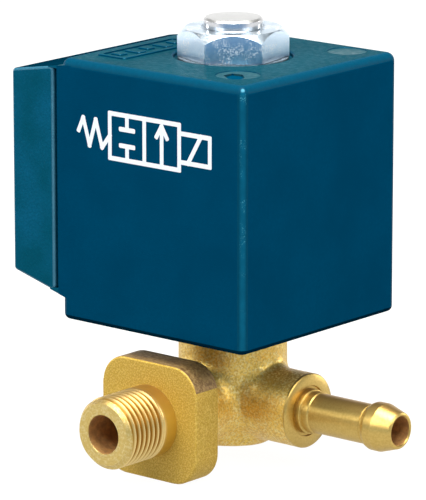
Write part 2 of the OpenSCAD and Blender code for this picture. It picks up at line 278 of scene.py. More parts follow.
class Finish:
    """A Principled material whose textures are laid out in millimetres on the object."""

    def __init__(self, name, colour, roughness, metallic=0.0, specular=0.5):
        self.material = bpy.data.materials.new(name)
        self.material.use_nodes = True
        self.nodes = self.material.node_tree.nodes
        self.links = self.material.node_tree.links
        self.shader = self.nodes["Principled BSDF"]
        self.colour = (*colour, 1)
        self.metallic = metallic
        self.relief = None
        self.fill(self.shader, {"Base Color": self.colour, "Roughness": roughness, "Metallic": metallic})
        self.fill(self.shader, {"Specular IOR Level": specular})
        metres = self.add("TexCoord", {}, "Object")
        self.place = self.add("VectorMath", {0: metres, "Scale": 1 / MM}, operation="SCALE")

    def fill(self, node, inputs):
        """Sets a node's inputs. One that is given as another node's output is linked to it."""
        for name, value in inputs.items():
            if isinstance(value, bpy.types.NodeSocket):
                self.links.new(value, node.inputs[name])
            else:
                node.inputs[name].default_value = value

    def add(self, kind, inputs, output=0, **settings):
        """Makes a shader node and gives one of its outputs."""
        node = self.nodes.new("ShaderNode" + kind)
        for name, value in settings.items():
            setattr(node, name, value)
        self.fill(node, inputs)
        return node.outputs[output]

    def vector(self, operation, a, b):
        return self.add("VectorMath", {0: a, 1: b}, operation=operation)

    def math(self, operation, a, b=0):
        return self.add("Math", {0: a, 1: b}, operation=operation)

    def times(self, a, b):
        return self.math("MULTIPLY", a, b)

    def split(self, vector):
        """The X, Y and Z parts of a vector."""
        return [self.add("SeparateXYZ", {0: vector}, axis) for axis in "XYZ"]

    def remap(self, value, low, high, from_low=0.0, from_high=1.0):
        """Carries a value from one range to another, and keeps it inside."""
        source = {"Value": value, "From Min": from_low, "From Max": from_high}
        return self.add("MapRange", {**source, "To Min": low, "To Max": high}, "Result")

    def along_and_radius(self, axis, centre_y=0.0):
        """The place along an axis and the distance from it."""
        parts = dict(zip("XYZ", self.split(self.vector("SUBTRACT", self.place, (0, centre_y, 0)))))
        along = parts.pop(axis)
        squares = [self.times(part, part) for part in parts.values()]
        return along, self.math("SQRT", self.math("ADD", *squares))

    def turned(self, axis, centre_y=0.0):
        """Coordinates for tool marks: the place along a lathe's axis and the distance from it."""
        along, radius = self.along_and_radius(axis, centre_y)
        return self.add("CombineXYZ", {"X": along, "Y": radius})

    def noise(self, size, detail=2.0, rough=0.5, stretch=(1, 1, 1), source=None):
        """Noise from 0 to 1 with features about size millimetres across, longer where stretch is over 1."""
        place = self.vector("MULTIPLY", source or self.place, tuple(1 / (size * s) for s in stretch))
        raw = self.add("TexNoise", {"Vector": place, "Scale": 1, "Detail": detail, "Roughness": rough}, "Fac")
        return self.remap(raw, 0, 1, 0.35, 0.65)

    def facing(self):
        """The three parts of the surface's direction."""
        return self.split(self.add("TexCoord", {}, "Normal"))

    def upward(self, low, high, amount=1.0):
        """0 where the surface looks up less than low, and amount where it looks up more than high."""
        return self.remap(self.facing()[2], 0, amount, low, high)

    def upright_edge(self):
        """1 half way round the front and back upright corners, 0 on flat faces and on level edges."""
        x, y, _ = self.facing()
        return self.times(self.times(x, y), -2)

    def upper_corner(self):
        """1 at the tips of the upper front corner, 0 elsewhere."""
        x, y, z = self.facing()
        return self.remap(self.times(self.times(x, y), z), 0, 1, -0.155, -0.185)

    def mix(self, factor, a, b):
        """Colour from a to b as factor goes from 0 to 1."""
        return self.add("Mix", {"Factor": factor, "A": a, "B": b}, "Result", data_type="RGBA")

    def crevice(self, distance):
        """1 in the open, towards 0 in corners narrower than distance millimetres."""
        return self.add("AmbientOcclusion", {"Distance": distance * MM}, "AO", samples=8)

    def tint(self, factor, colour):
        """Blends the base colour towards another where factor is high."""
        self.colour = self.mix(factor, self.colour, (*colour, 1))
        self.fill(self.shader, {"Base Color": self.colour})

    def mottle(self, colour, amount, size, detail=3, rough=0.5, low=0.0, high=1.0):
        """Tints patches about size millimetres across, rising where the noise goes from low to high."""
        self.tint(self.remap(self.noise(size, detail, rough), 0, amount, low, high), colour)

    def dull(self, factor, amount):
        """Scuffs that scatter light: less metallic where the factor is high."""
        self.fill(self.shader, {"Metallic": self.remap(factor, self.metallic, self.metallic * (1 - amount))})

    def roughen(self, factor, low, high):
        """Roughness from low to high as factor goes from 0 to 1."""
        self.fill(self.shader, {"Roughness": self.remap(factor, low, high)})

    def bump(self, height, depth):
        """Adds relief depth millimetres deep."""
        inputs = {"Height": height, "Distance": depth * MM, "Strength": 1}
        if self.relief is not None:
            inputs["Normal"] = self.relief
        self.relief = self.add("Bump", inputs, "Normal")
        self.fill(self.shader, {"Normal": self.relief})


def cast_brass():
    """Shot-blasted forging: sandy grain, with painted shade making it browner on its upward faces and in its
    corners.
    """
    f = Finish("cast_brass", (1.0, 0.70, 0.15), 0.4, metallic=0.68)
    f.mottle((0.86, 0.50, 0.09), 0.7, 2.6)
    # Painted shade: upward faces browner, standing in for the dark above them.
    f.tint(f.upward(0.6, 0.98, 0.7), (0.46, 0.25, 0.07))
    # Painted shade: browner in corners narrower than 2 mm.
    f.tint(f.remap(f.crevice(2.0), 0.35, 0.0, 0.2, 0.8), (0.56, 0.29, 0.05))
    f.mottle((1.0, 0.84, 0.38), 0.7, 0.30, 2, 0.6, 0.48, 0.75)
    f.mottle((0.60, 0.33, 0.05), 0.5, 0.28, 2, 0.6, 0.5, 0.25)
    f.roughen(f.noise(0.6, 3), 0.34, 0.45)
    f.bump(f.noise(1.0, 3), 0.012)
    f.bump(f.noise(0.30, 2, 0.6), 0.024)
    return f.material


def oxide_and_shade_brass():
    """As-forged skin that the blasting missed: brown, dull and pitted, and also painted shade on the flange's
    top and upper corners under the case.
    """
    f = Finish("oxide_and_shade_brass", (0.30, 0.18, 0.065), 0.5, metallic=0.5)
    f.mottle((0.20, 0.11, 0.04), 0.8, 1.3, low=0.42, high=0.60)
    f.mottle((0.50, 0.33, 0.13), 0.5, 0.4, low=0.45, high=0.7)
    f.roughen(f.noise(0.5, 3), 0.38, 0.6)
    f.bump(f.noise(0.7, 3), 0.02)
    f.bump(f.noise(0.28, 2, 0.6), 0.02)
    return f.material


def blasted_brass():
    """Milled faces after a fine bead blast: even, pale and finely grained."""
    f = Finish("blasted_brass", (0.57, 0.375, 0.05), 0.6, metallic=0.5)
    f.mottle((0.56, 0.35, 0.042), 0.6, 1.8)
    f.mottle((0.78, 0.56, 0.15), 0.6, 0.22, 2, 0.6, 0.46, 0.64)
    f.mottle((0.44, 0.26, 0.03), 0.4, 0.26, 2, 0.6, 0.50, 0.36)
    f.roughen(f.noise(0.3, 2), 0.60, 0.72)
    f.bump(f.noise(0.24, 2, 0.6), 0.013)
    return f.material


def turned_brass(name, axis, centre_y, shine):
    """Lathe-turned brass with fine tool marks round its axis."""
    f = Finish(name, (0.63, 0.425, 0.115), shine, metallic=0.9)
    marks = f.turned(axis, centre_y)
    fine = f.noise(0.07, 3, 0.65, source=marks)
    f.tint(f.remap(f.noise(0.5, 2, source=marks), 0, 0.12), (0.62, 0.39, 0.08))
    f.mottle((0.84, 0.62, 0.20), 0.4, 0.3)
    # Painted shade: upward faces browner.
    f.tint(f.upward(0.5, 1.0, 0.8), TOP_SHADE_BROWN)
    f.roughen(fine, shine, shine + 0.05)
    f.bump(fine, 0.0005)
    f.bump(f.noise(0.3, 3), 0.003)
    return f.material


def threaded_brass():
    """Cut thread: crests left pale as a painted highlight, grooves darkened as painted shade, and a plain
    shank next to the flange tinted darker orange as painted shade and a painted reflection of the flange.
    """
    f = Finish("threaded_brass", (0.90, 0.68, 0.28), 0.3, metallic=0.85)
    along, radius = f.along_and_radius("Y")
    root, crest = THREAD_R - THREAD_DEPTH, THREAD_R - 0.06
    # Painted shade in the grooves, which leaves the crests pale as a painted highlight.
    f.tint(f.remap(radius, 1, 0, root + 0.22, crest), (0.44, 0.235, 0.03))
    # Painted shade and painted reflection of the flange: a darker orange on the shank next to it.
    f.tint(f.remap(along, 0, 0.9, -RUN_OUT + 0.1, -RUN_OUT + 0.5), (0.72, 0.49, 0.08))
    # Painted shade: upward faces browner.
    f.tint(f.upward(0.2, 0.9, 0.8), TOP_SHADE_BROWN)
    f.roughen(f.noise(0.3, 3), 0.32, 0.40)
    f.bump(f.noise(0.3, 3), 0.0004)
    return f.material


def faced_brass():
    """Face and chamfer of the inlet, with the rings that its cutter left."""
    f = Finish("faced_brass", (0.74, 0.54, 0.17), 0.34, metallic=0.85)
    rings = f.noise(0.14, 3, 0.65, source=f.turned("Y"))
    f.tint(f.remap(rings, 0, 0.6), (0.58, 0.40, 0.11))
    f.mottle((0.86, 0.72, 0.38), 0.5, 0.35, 4, 0.7, 0.5, 0.7)
    # Painted shade: upward faces browner.
    f.tint(f.upward(0.3, 0.9, 0.5), TOP_SHADE_BROWN)
    f.roughen(rings, 0.32, 0.48)
    f.bump(rings, 0.008)
    f.bump(f.noise(0.35, 4, 0.7), 0.004)
    return f.material


def bored_brass():
    """Drilled bore with a dull brown oxide on the metal."""
    f = Finish("bored_brass", (0.66, 0.36, 0.12), 0.5, metallic=0.45)
    f.mottle((0.46, 0.24, 0.09), 1, 0.8)
    f.roughen(f.noise(0.4), 0.42, 0.6)
    f.bump(f.noise(0.2, 3), 0.01)
    return f.material


def moulded_plastic(name, colour, deep, roughness=0.5, grain=0.13, depth=0.012, specular=0.06, cloud=9.0):
    """Moulded plastic with a spark-eroded skin, in clouds of slightly uneven colour."""
    f = Finish(name, colour, roughness, specular=specular)
    f.mottle(deep, 0.8, cloud)
    f.mottle(deep, 0.35, 0.4, low=0.2, high=0.9)
    f.roughen(f.noise(grain * 2.5, 3), roughness - 0.06, roughness + 0.1)
    f.bump(f.noise(grain, 3, 0.6), depth)
    f.bump(f.noise(3.5), 0.02)
    return f.material


def highlit_scuffed_plastic(name, colour, edge_highlight, roughness, specular):
    """Rounded edges of a moulding: a painted highlight along the upright corners with pale scuff specks, and
    a painted highlight spot at their tips.
    """
    f = Finish(name, colour, roughness, specular=specular)
    f.mottle(tuple(0.8 * c for c in colour), 0.4, 0.5)
    # Painted highlight: a pale line half way round the upright corners.
    middle = f.remap(f.upright_edge(), 0, 1, 0.66, 0.97)
    f.tint(f.times(middle, f.remap(f.noise(1.6, 3), 0.6, 1)), edge_highlight)
    # Pale scuff specks within that painted highlight line.
    patches = f.remap(f.noise(2.2), 0, 1, 0.55, 0.9)
    specks = f.remap(f.noise(0.15, 2, 0.6), 0, 0.8, 0.80, 1.0)
    f.tint(f.times(f.times(middle, patches), specks), (0.10, 0.45, 0.55))
    # Painted highlight spot at the tips of the upper front corner.
    f.tint(f.upper_corner(), (0.08, 0.30, 0.42))
    f.roughen(f.noise(0.4, 3), roughness - 0.06, roughness + 0.1)
    f.bump(f.noise(0.2, 3, 0.6), 0.010)
    return f.material


def bright_metal(name, colour, tone, roughness, scratches=0.0015):
    """Turned steel with fine rings round the stem's axis, and light handling scratches."""
    f = Finish(name, colour, roughness, metallic=1.0)
    rings = f.noise(0.06, 3, 0.65, source=f.turned("Z", STEM_Y))
    f.mottle(tone, 0.5, 1.3)
    f.roughen(rings, roughness, roughness + 0.14)
    f.bump(rings, scratches)
    f.bump(f.noise(0.7, 4, 0.7, stretch=(0.12, 1.4, 1)), scratches)
    return f.material


def zinc_plate():
    """Bright zinc: bluish, scuffed in patches, and rough enough for the denoiser to keep it clean."""
    f = Finish("zinc_plate", (0.74, 0.87, 0.99), 0.3, metallic=1.0)
    f.mottle((0.62, 0.77, 0.92), 0.4, 1.3, 4, 0.65)
    patches = f.remap(f.noise(2.4), 0.15, 0.9, 0.50, 0.70)
    scuffs = f.times(patches, f.remap(f.noise(0.24, 3, 0.7), 0, 1, 0.50, 0.74))
    f.tint(scuffs, (0.95, 0.97, 1.0))
    f.dull(scuffs, 0.45)
    f.roughen(f.noise(0.8), 0.29, 0.36)
    return f.material


def rubber():
    """Matt black seal rubber."""
    f = Finish("seal_rubber", (0.012, 0.012, 0.013), 0.62, specular=0.4)
    f.mottle((0.03, 0.03, 0.032), 1, 1.2)
    f.roughen(f.noise(0.3), 0.5, 0.75)
    f.bump(f.noise(0.2), 0.01)
    return f.material


def enamelled_copper():
    """Winding wire: a rib for each turn, under clear enamel."""
    f = Finish("enamelled_copper", (0.62, 0.24, 0.09), 0.3, metallic=1.0)
    f.shader.inputs["Coat Weight"].default_value = 0.6
    f.mottle((0.45, 0.14, 0.04), 0.6, 2.0)
    turns = f.noise(0.3, 0, stretch=(40, 40, 1))
    f.roughen(turns, 0.25, 0.4)
    f.bump(turns, 0.08)
    return f.material


def sheet_steel(name, colour, roughness, rust=(0.20, 0.19, 0.18)):
    """Rolled sheet with faint grain along its length."""
    f = Finish(name, colour, roughness, metallic=1.0)
    grain = f.noise(0.12, 3, 0.6, stretch=(1, 1, 12))
    f.mottle(rust, 0.5, 3.0, 4)
    f.roughen(grain, roughness - 0.05, roughness + 0.12)
    f.bump(grain, 0.006)
    return f.material


def polyester_tape():
    """Yellow winding tape, faintly ribbed round the coil."""
    f = Finish("polyester_tape", (0.62, 0.46, 0.10), 0.28)
    f.mottle((0.50, 0.34, 0.06), 1, 4.0)
    f.roughen(f.noise(0.8), 0.2, 0.4)
    f.bump(f.noise(0.5, stretch=(8, 8, 1)), 0.02)
    return f.material


def white_ink():
    """Screen print with a slightly uneven cover."""
    f = Finish("white_ink", (0.80, 0.82, 0.86), 0.5, specular=0.3)
    f.mottle((0.62, 0.68, 0.76), 0.3, 0.3)
    f.roughen(f.noise(0.2), 0.42, 0.6)
    f.bump(f.noise(0.13), 0.006)
    return f.material


# G 1/8 thread of the inlet, which its material follows
THREAD_R = 4.864
THREAD_PITCH = 0.907
THREAD_DEPTH = 0.58
THREAD_CHAMFER = 0.9
RUN_OUT = 2.3

TEAL = (0.0, 0.047, 0.102)
TEAL_DEEP = (0.0, 0.039, 0.086)
# Brown painted shade for upward faces of the brass, standing in for the dark above them.
TOP_SHADE_BROWN = (0.32, 0.175, 0.055)
CAST = cast_brass()
BLASTED = blasted_brass()
TURNED_OUTLET = turned_brass("turned_brass_outlet", "X", STEM_Y, 0.34)
BORED = bored_brass()
OXIDE_AND_SHADE = oxide_and_shade_brass()
FACED = faced_brass()
THREADED = threaded_brass()
CASE = moulded_plastic("case_plastic", TEAL, TEAL_DEEP, specular=0.0)
# Copy of the case plastic for the top: a coarser grain, and a greener, less blue colour that is a painted
# sheen for the grey light the top catches.
CASE_TOP = moulded_plastic(
    "case_plastic_top", (0.002, 0.049, 0.074), (0.001, 0.036, 0.056), grain=0.3, depth=0.03, specular=0.015
)
# Rounded edges of the case: painted highlight along the upright corners and at their tips, with pale scuff
# specks.
CASE_EDGE = highlit_scuffed_plastic("case_plastic_edge", (0.0, 0.049, 0.095), (0.002, 0.092, 0.165), 0.42, 0.03)
# Darker copy of the case plastic: painted shade for the undersides, and for the housing's top, bottom and
# neck.
CASE_PAINTED_SHADE = moulded_plastic("case_plastic_painted_shade", (0.0, 0.018, 0.036), (0.0, 0.011, 0.024), 0.7, specular=0)
# The sunk round marks: smoother, and lighter in colour as a painted sheen.
CASE_MARK = moulded_plastic(
    "case_plastic_mark", (0.02, 0.080, 0.100), (0.006, 0.05, 0.07), 0.4, grain=0.3, depth=0.004, specular=0.1
)
# Rounded edges of the housing: a lighter copy of its plastic as painted highlight, with a painted highlight
# line and pale scuff specks.
HOUSING_EDGE = highlit_scuffed_plastic("housing_plastic_edge", (0.022, 0.115, 0.18), (0.06, 0.20, 0.29), 0.40, 0.15)
# Housing plastic, lighter than the case's: painted light for the extra light its face catches.
HOUSING = moulded_plastic(
    "housing_plastic", (0.002, 0.080, 0.148), (0.0, 0.056, 0.088), 0.46, 0.3, 0.016, specular=0.01, cloud=6.0
)
STUD = bright_metal("stud_steel", (0.66, 0.67, 0.69), (0.56, 0.57, 0.60), 0.08, 0.0001)
STUD_TOP = bright_metal("stud_faced", (0.84, 0.84, 0.84), (0.78, 0.78, 0.78), 0.30, 0.001)
# Washer darkened to painted shade, as it lies in the recess under the nut.
WASHER_SHADED = bright_metal("washer_zinc_shaded", (0.13, 0.17, 0.20), (0.08, 0.12, 0.15), 0.30, 0.0005)
TUBE = bright_metal("tube_steel", (0.62, 0.62, 0.63), (0.62, 0.63, 0.64), 0.2)
ZINC = zinc_plate()
SHEET = sheet_steel("yoke_sheet", (0.42, 0.42, 0.43), 0.38)
TIN = sheet_steel("tinned_strip", (0.80, 0.78, 0.74), 0.24, (0.60, 0.58, 0.54))
RUBBER = rubber()
COPPER = enamelled_copper()
BOBBIN = moulded_plastic(
    "bobbin_nylon", (0.74, 0.71, 0.60), (0.66, 0.62, 0.50), grain=0.3, depth=0.01, specular=0.5
)
TAPE = polyester_tape()
INK = white_ink()


# ---- Forged body ----

FLANGE_HALF_X = -span("valve_body", 0)[0]
FLANGE_HALF_Z = -span("valve_body", 2)[0]
FLANGE_FRONT = -STEM_Y
FLANGE_T = 4.6
FLANGE_BACK = FLANGE_FRONT + FLANGE_T
FLANGE_CORNER = 4.0
OXIDE_AND_SHADE_REACH = 3.2
NECK_R = span("valve_body", 1)[1]
NECK_LOW = -2.2
NECK_TOP = span("valve_body", 2)[1]
THREAD_END = span("valve_body", 1)[0]
OUTLET_FACE = span("valve_body", 0)[1]
BARREL_R = 5.05
FOOT_R = 5.6
FOOT_Z = -6.0

# Bores and drillings
INLET_BORE_R = 2.6
INLET_FLOOR = -2.75
OUTLET_BORE_R = 1.95
PRESS_R = 3.0
PRESS_FLOOR = 6
BOSS_RECESS_R = 3.4
CHAMBER_R = 4.7
CHAMBER_FLOOR = 2.9
SEAT_R = 1.9
SEAT_TOP = 4.4
POCKET_R = 6
POCKET_FLOOR = 5.1
DRILL_LOW = 0.3
ORIFICE_R = 1.1
FEED_R = 1
FEED_Y = -3.4


def capped_cylinder(p, axis, r, low, high, edge):
    """Signed distance to a cylinder along an axis through the stem, with rounded end edges."""
    across = [k for k in range(3) if k != axis]
    radial = np.hypot(p[..., across[0]], p[..., across[1]]) - r + edge
    axial = np.abs(p[..., axis] - (low + high) / 2) - (high - low) / 2 + edge
    outside = np.hypot(np.maximum(radial, 0), np.maximum(axial, 0))
    return outside + np.minimum(np.maximum(radial, axial), 0) - edge


def flange_block(p, inset):
    """Signed distance to the flange's plate, drawn in by inset."""
    qx = np.abs(p[..., 0]) - FLANGE_HALF_X + FLANGE_CORNER
    qz = np.abs(p[..., 2]) - FLANGE_HALF_Z + FLANGE_CORNER
    flat = np.hypot(np.maximum(qx, 0), np.maximum(qz, 0)) + np.minimum(np.maximum(qx, qz), 0) - FLANGE_CORNER
    axial = np.abs(p[..., 1] - (FLANGE_FRONT + FLANGE_BACK) / 2) - FLANGE_T / 2
    return np.maximum(flat, axial) + inset


def blend(a, b, fillet):
    """Union of two signed distances with a fillet between them."""
    h = np.clip(0.5 + 0.5 * (b - a) / fillet, 0, 1)
    return b * (1 - h) + a * h - fillet * h * (1 - h)


def forging(p):
    """Signed distance to the forging: neck, foot, two barrels and the back of the flange."""
    neck = capped_cylinder(p, 2, NECK_R, NECK_LOW, NECK_TOP + 2, 1.6)
    foot = capped_cylinder(p, 2, FOOT_R, FOOT_Z, 4, 1.0)
    column = blend(neck, foot, 1.6)
    outlet = capped_cylinder(p, 0, BARREL_R, 0, OUTLET_FACE + 1, 0.3)
    inlet = capped_cylinder(p, 1, BARREL_R, FLANGE_BACK - 1, 0, 0.3)
    barrels = blend(outlet, inlet, 0.8)
    return blend(blend(column, barrels, 1.7), flange_block(p, 0.06), 1.1)


def surface_of(field, low, high, step):
    """Points and quads of the surface where a field is 0, one point to each cell that it crosses."""
    sides = [np.arange(a, b + step, step) for a, b in zip(low, high)]
    value = field(np.stack(np.meshgrid(*sides, indexing="ij"), axis=-1))
    cells = np.array(value.shape)
    total = np.zeros((value.size, 3))
    count = np.zeros(value.size)
    quads = []
    for axis in range(3):
        first = np.take(value, range(cells[axis] - 1), axis)
        second = np.take(value, range(1, cells[axis]), axis)
        crossed = (first < 0) != (second < 0)
        index = np.argwhere(crossed)
        share = first[crossed] / (first[crossed] - second[crossed])
        point = np.array(low) + index * step
        point[:, axis] += share * step
        u, v = (axis + 1) % 3, (axis + 2) % 3
        around = []
        for du, dv in ((0, 0), (1, 0), (1, 1), (0, 1)):
            cell = index.copy()
            cell[:, u] -= du
            cell[:, v] -= dv
            flat = np.ravel_multi_index(cell.T, value.shape)
            np.add.at(total, flat, point)
            np.add.at(count, flat, 1)
            around.append(flat)
        around = np.stack(around, axis=1)
        flipped = first[crossed] < 0
        around[flipped] = around[flipped][:, ::-1]
        quads.append(around)
    quads = np.concatenate(quads)
    used, faces = np.unique(quads, return_inverse=True)
    points = total[used] / count[used, None]
    return points, faces.reshape(quads.shape)


def gradient(field, points):
    """Slope of a field at points, from its change over twice the reach."""
    reach = 0.02
    steps = [np.eye(3)[k] * reach for k in range(3)]
    return np.stack([(field(points + s) - field(points - s)) / (2 * reach) for s in steps], axis=-1)


def forged_shell():
    """The forging as a closed mesh, with a slightly wavy cast skin."""
    low = (min(-NECK_R - 1.2, -FLANGE_HALF_X - 0.5), FLANGE_FRONT - 0.5, -FLANGE_HALF_Z - 0.5)
    high = (OUTLET_FACE + 1.6, NECK_R + 1.2, NECK_TOP + 2.6)
    points, faces = surface_of(forging, low, high, 0.23)
    for _ in range(4):
        slope = gradient(forging, points)
        steep = np.maximum((slope**2).sum(axis=1), 0.2)
        points = points - slope * (forging(points) / steep)[:, None]
    outward = gradient(forging, points)
    outward /= np.linalg.norm(outward, axis=1)[:, None]
    skin = np.array([noise.noise(Vector(p) / 1.1) + 0.5 * noise.noise(Vector(p) / 0.45) for p in points])
    free = np.clip((points[:, 1] - FLANGE_BACK) / 0.8, 0, 1)
    points = points + outward * (skin * free * 0.02)[:, None]
    return from_points("valve_body", points, faces)


def inlet_thread():
    """Male thread along -Y, with a chamfered end and a plain shank next to the flange."""
    sides, rise = 160, 0.045
    inside = FLANGE_FRONT + 0.6
    y = np.linspace(THREAD_END, inside, int(round((inside - THREAD_END) / rise)))[:, None]
    turn = (math.tau * np.arange(sides) / sides)[None, :]
    ridge = 0.5 + 0.5 * np.cos(math.tau * (y / THREAD_PITCH - turn / math.tau))
    fade = np.clip((FLANGE_FRONT - RUN_OUT - y) / 0.5, 0, 1)
    radius = THREAD_R - 0.015 - THREAD_DEPTH * (1 - ridge**1.3) * fade
    chamfer = THREAD_R - 0.8 * (THREAD_CHAMFER - (y - THREAD_END))
    radius = np.minimum(radius, chamfer)
    points = np.stack([radius * np.cos(turn), y + 0 * turn, radius * np.sin(turn)], axis=-1)
    return tube("inlet_thread", points.reshape(-1, 3), sides)


def in_outlet(centre, normal):
    """Whether a face is part of the outlet's bore."""
    return math.hypot(centre.y, centre.z) < OUTLET_BORE_R + 0.05 and centre.x > 0.1 and abs(normal.x) < 0.5


def body_finish(centre, normal):
    """Finish of a face of the body, by where it is: bores, inlet, flange, outlet's end or forged skin."""
    x, y, z = centre
    in_inlet = math.hypot(x, z) < INLET_BORE_R + 0.02 and y < -2 and abs(normal.y) < 0.5
    if in_inlet or in_outlet(centre, normal):
        return BORED
    if y < THREAD_END + THREAD_CHAMFER - 0.05:
        return FACED
    if y < FLANGE_FRONT - 0.02:
        return THREADED
    if y < FLANGE_BACK + 0.02:
        # The flange's top and upper corners take the oxide finish, which is also painted shade there.
        cornered = abs(x) > FLANGE_HALF_X - OXIDE_AND_SHADE_REACH and z > FLANGE_HALF_Z - OXIDE_AND_SHADE_REACH
        return OXIDE_AND_SHADE if (cornered or normal.z > 0.5) and normal.y > -0.5 else BLASTED
    if x > OUTLET_FACE - 0.32 or (x > 0 and math.hypot(y, z) < PRESS_R + 0.5):
        return TURNED_OUTLET
    return CAST


def outlet_cutters():
    """Faced end of the outlet boss, and its bore with the pocket that the hose tail is pressed into."""
    face, rim, out = OUTLET_FACE, BARREL_R, OUTLET_FACE + 3
    facing = [(face, 0), (face, rim - 0.16), (face - 0.2, rim + 0.04), (face - 0.2, rim + 1)]
    bore = [(0.2, 0), (0.2, OUTLET_BORE_R), (PRESS_FLOOR, OUTLET_BORE_R), (PRESS_FLOOR, PRESS_R)]
    recess = [(face - 0.3, PRESS_R), (face - 0.3, BOSS_RECESS_R, 0.06), (face, BOSS_RECESS_R + 0.06, 0.03)]
    return [
        lathe("boss_end", [*facing, (out, rim + 1), (out, 0)], axis="x"),
        lathe("outlet_bore", rounded([*bore, *recess, (face + 1, 4.4), (face + 1, 0)]), axis="x"),
    ]


def inlet_cutter():
    """Inlet bore with a countersunk mouth and a drill point."""
    mouth = [(THREAD_END - 1, 0), (THREAD_END - 1, INLET_BORE_R + 1.1), (THREAD_END + 0.1, INLET_BORE_R)]
    return lathe("inlet_bore", [*mouth, (INLET_FLOOR, INLET_BORE_R), (INLET_FLOOR + 0.45, 0)], axis="y")


def chamber_cutters():
    """Valve chamber round its raised seat, the tube's thread pocket, the orifice and the feed hole."""
    top = 14
    chamber = [
        (CHAMBER_FLOOR, CHAMBER_R), (CHAMBER_FLOOR, SEAT_R), (SEAT_TOP, SEAT_R), (SEAT_TOP, 0),
        (top, 0), (top, POCKET_R), (POCKET_FLOOR, POCKET_R), (POCKET_FLOOR, CHAMBER_R),
    ]
    return [
        lathe("chamber", chamber),
        drill("orifice", ORIFICE_R, DRILL_LOW, 6),
        drill("feed", FEED_R, DRILL_LOW, 3.2, centre=(0, FEED_Y, 0)),
    ]


def valve_body():
    """Forging with its milled flange, cut thread, faced ends and bores."""
    body = forged_shell()
    outline = rectangle((-FLANGE_HALF_X, FLANGE_HALF_X), (-FLANGE_HALF_Z, FLANGE_HALF_Z))
    ends = (FLANGE_FRONT, FLANGE_BACK)
    flange = rounded_prism("flange", outline, FLANGE_CORNER, ends, (0.3, 0.35), axis="y", arc=13)
    join(body, [flange, inlet_thread()])
    around_neck = about(0, 18)
    top = rounded_prism("top", rectangle(around_neck, around_neck), 0.5, (NECK_TOP, NECK_TOP + 5))
    combine(body, [top, *outlet_cutters(), inlet_cutter(), *chamber_cutters()])
    finishes = [CAST, BLASTED, THREADED, TURNED_OUTLET, BORED, OXIDE_AND_SHADE, FACED]
    return piece(body, "valve", finishes, ["valve_body"], sharp=52, pick=body_finish)


def hose_barb():
    """Turned hose tail: stepped root, plain tube with a tool groove, and one barb."""
    start, tip = span("hose_barb", 0)
    face, back = OUTLET_FACE, tip - 4.6
    tube_r, crest_r = 2.70, 3.25
    root = [
        (start, OUTLET_BORE_R), (start, PRESS_R), (face - 0.3, PRESS_R), (face - 0.3, 3.03),
        (face + 0.75, 3.05, 0.16), (face + 0.8, 2.80, 0.05), (face + 1.0, 2.80, 0.05),
        (face + 1.04, 2.87, 0.03), (face + 1.9, 2.85, 0.12), (face + 2.0, tube_r, 0.08),
    ]
    groove = [
        (back - 0.5, tube_r, 0.02), (back - 0.44, 2.62, 0.02),
        (back - 0.3, 2.62, 0.02), (back - 0.24, tube_r, 0.02),
    ]
    barb = [
        (back, tube_r, 0.05), (back + 0.12, 3.05, 0.1), (back + 0.6, crest_r, 0.3),
        (back + 1.9, crest_r, 0.5), (tip - 0.15, 2.46, 0.2), (tip, 2.22, 0.08),
        (tip, 2.08), (tip - 0.14, OUTLET_BORE_R),
    ]
    made = lathe("hose_barb", rounded([*root, *groove, *barb]), axis="x", steps=160)

    def finish(centre, normal):
        return BORED if in_outlet(centre, normal) else TURNED_OUTLET

    return piece(made, "valve", [TURNED_OUTLET, BORED], ["hose_barb"], sharp=40, pick=finish)


# ---- Stem, washer and nut ----

STUD_R = 3.95
NUT_AF = 13.0
NUT_FACING = math.radians(40)


def stem_core():
    """Fixed core with a groove for the shading ring, turned in one with the stud."""
    low, top = span("fixed_core", 2)
    shoulder = span("coil_washer", 2)[0]
    core_r, tube_r, edge = 4.6, 5.0, 0.28
    core = [(low, 0), (low, 2.8), (low + 1, 2.8), (low + 1, 3.6), (low, 3.6), (low, core_r)]
    collar = [(shoulder - 0.45, core_r), (shoulder - 0.45, tube_r), (shoulder, tube_r, 0.1)]
    stud = [(shoulder, STUD_R), (top - edge, STUD_R, 0.1), (top, STUD_R - edge, 0.1), (top, 0)]
    made = lathe("fixed_core", rounded([*core, *collar, *stud]), steps=160)

    def finish(centre, normal):
        return STUD_TOP if normal.z > 0.4 else STUD

    return piece(made, "valve", [STUD, STUD_TOP], ["fixed_core"], sharp=40, pick=finish)


def coil_washer():
    """Plain washer, 0.01 mm clear of the shoulder and the nut."""
    low, high = span("coil_washer", 2)
    low, high = low + 0.01, high - 0.01
    r = span("coil_washer", 0)[1]
    bore = STUD_R + 0.25
    section = [(low, bore), (low, r, 0.1), (high, r, 0.16), (high, bore, 0.08)]
    made = lathe("coil_washer", rounded(section), steps=160)
    return piece(made, "coil", [WASHER_SHADED], ["coil_washer"])


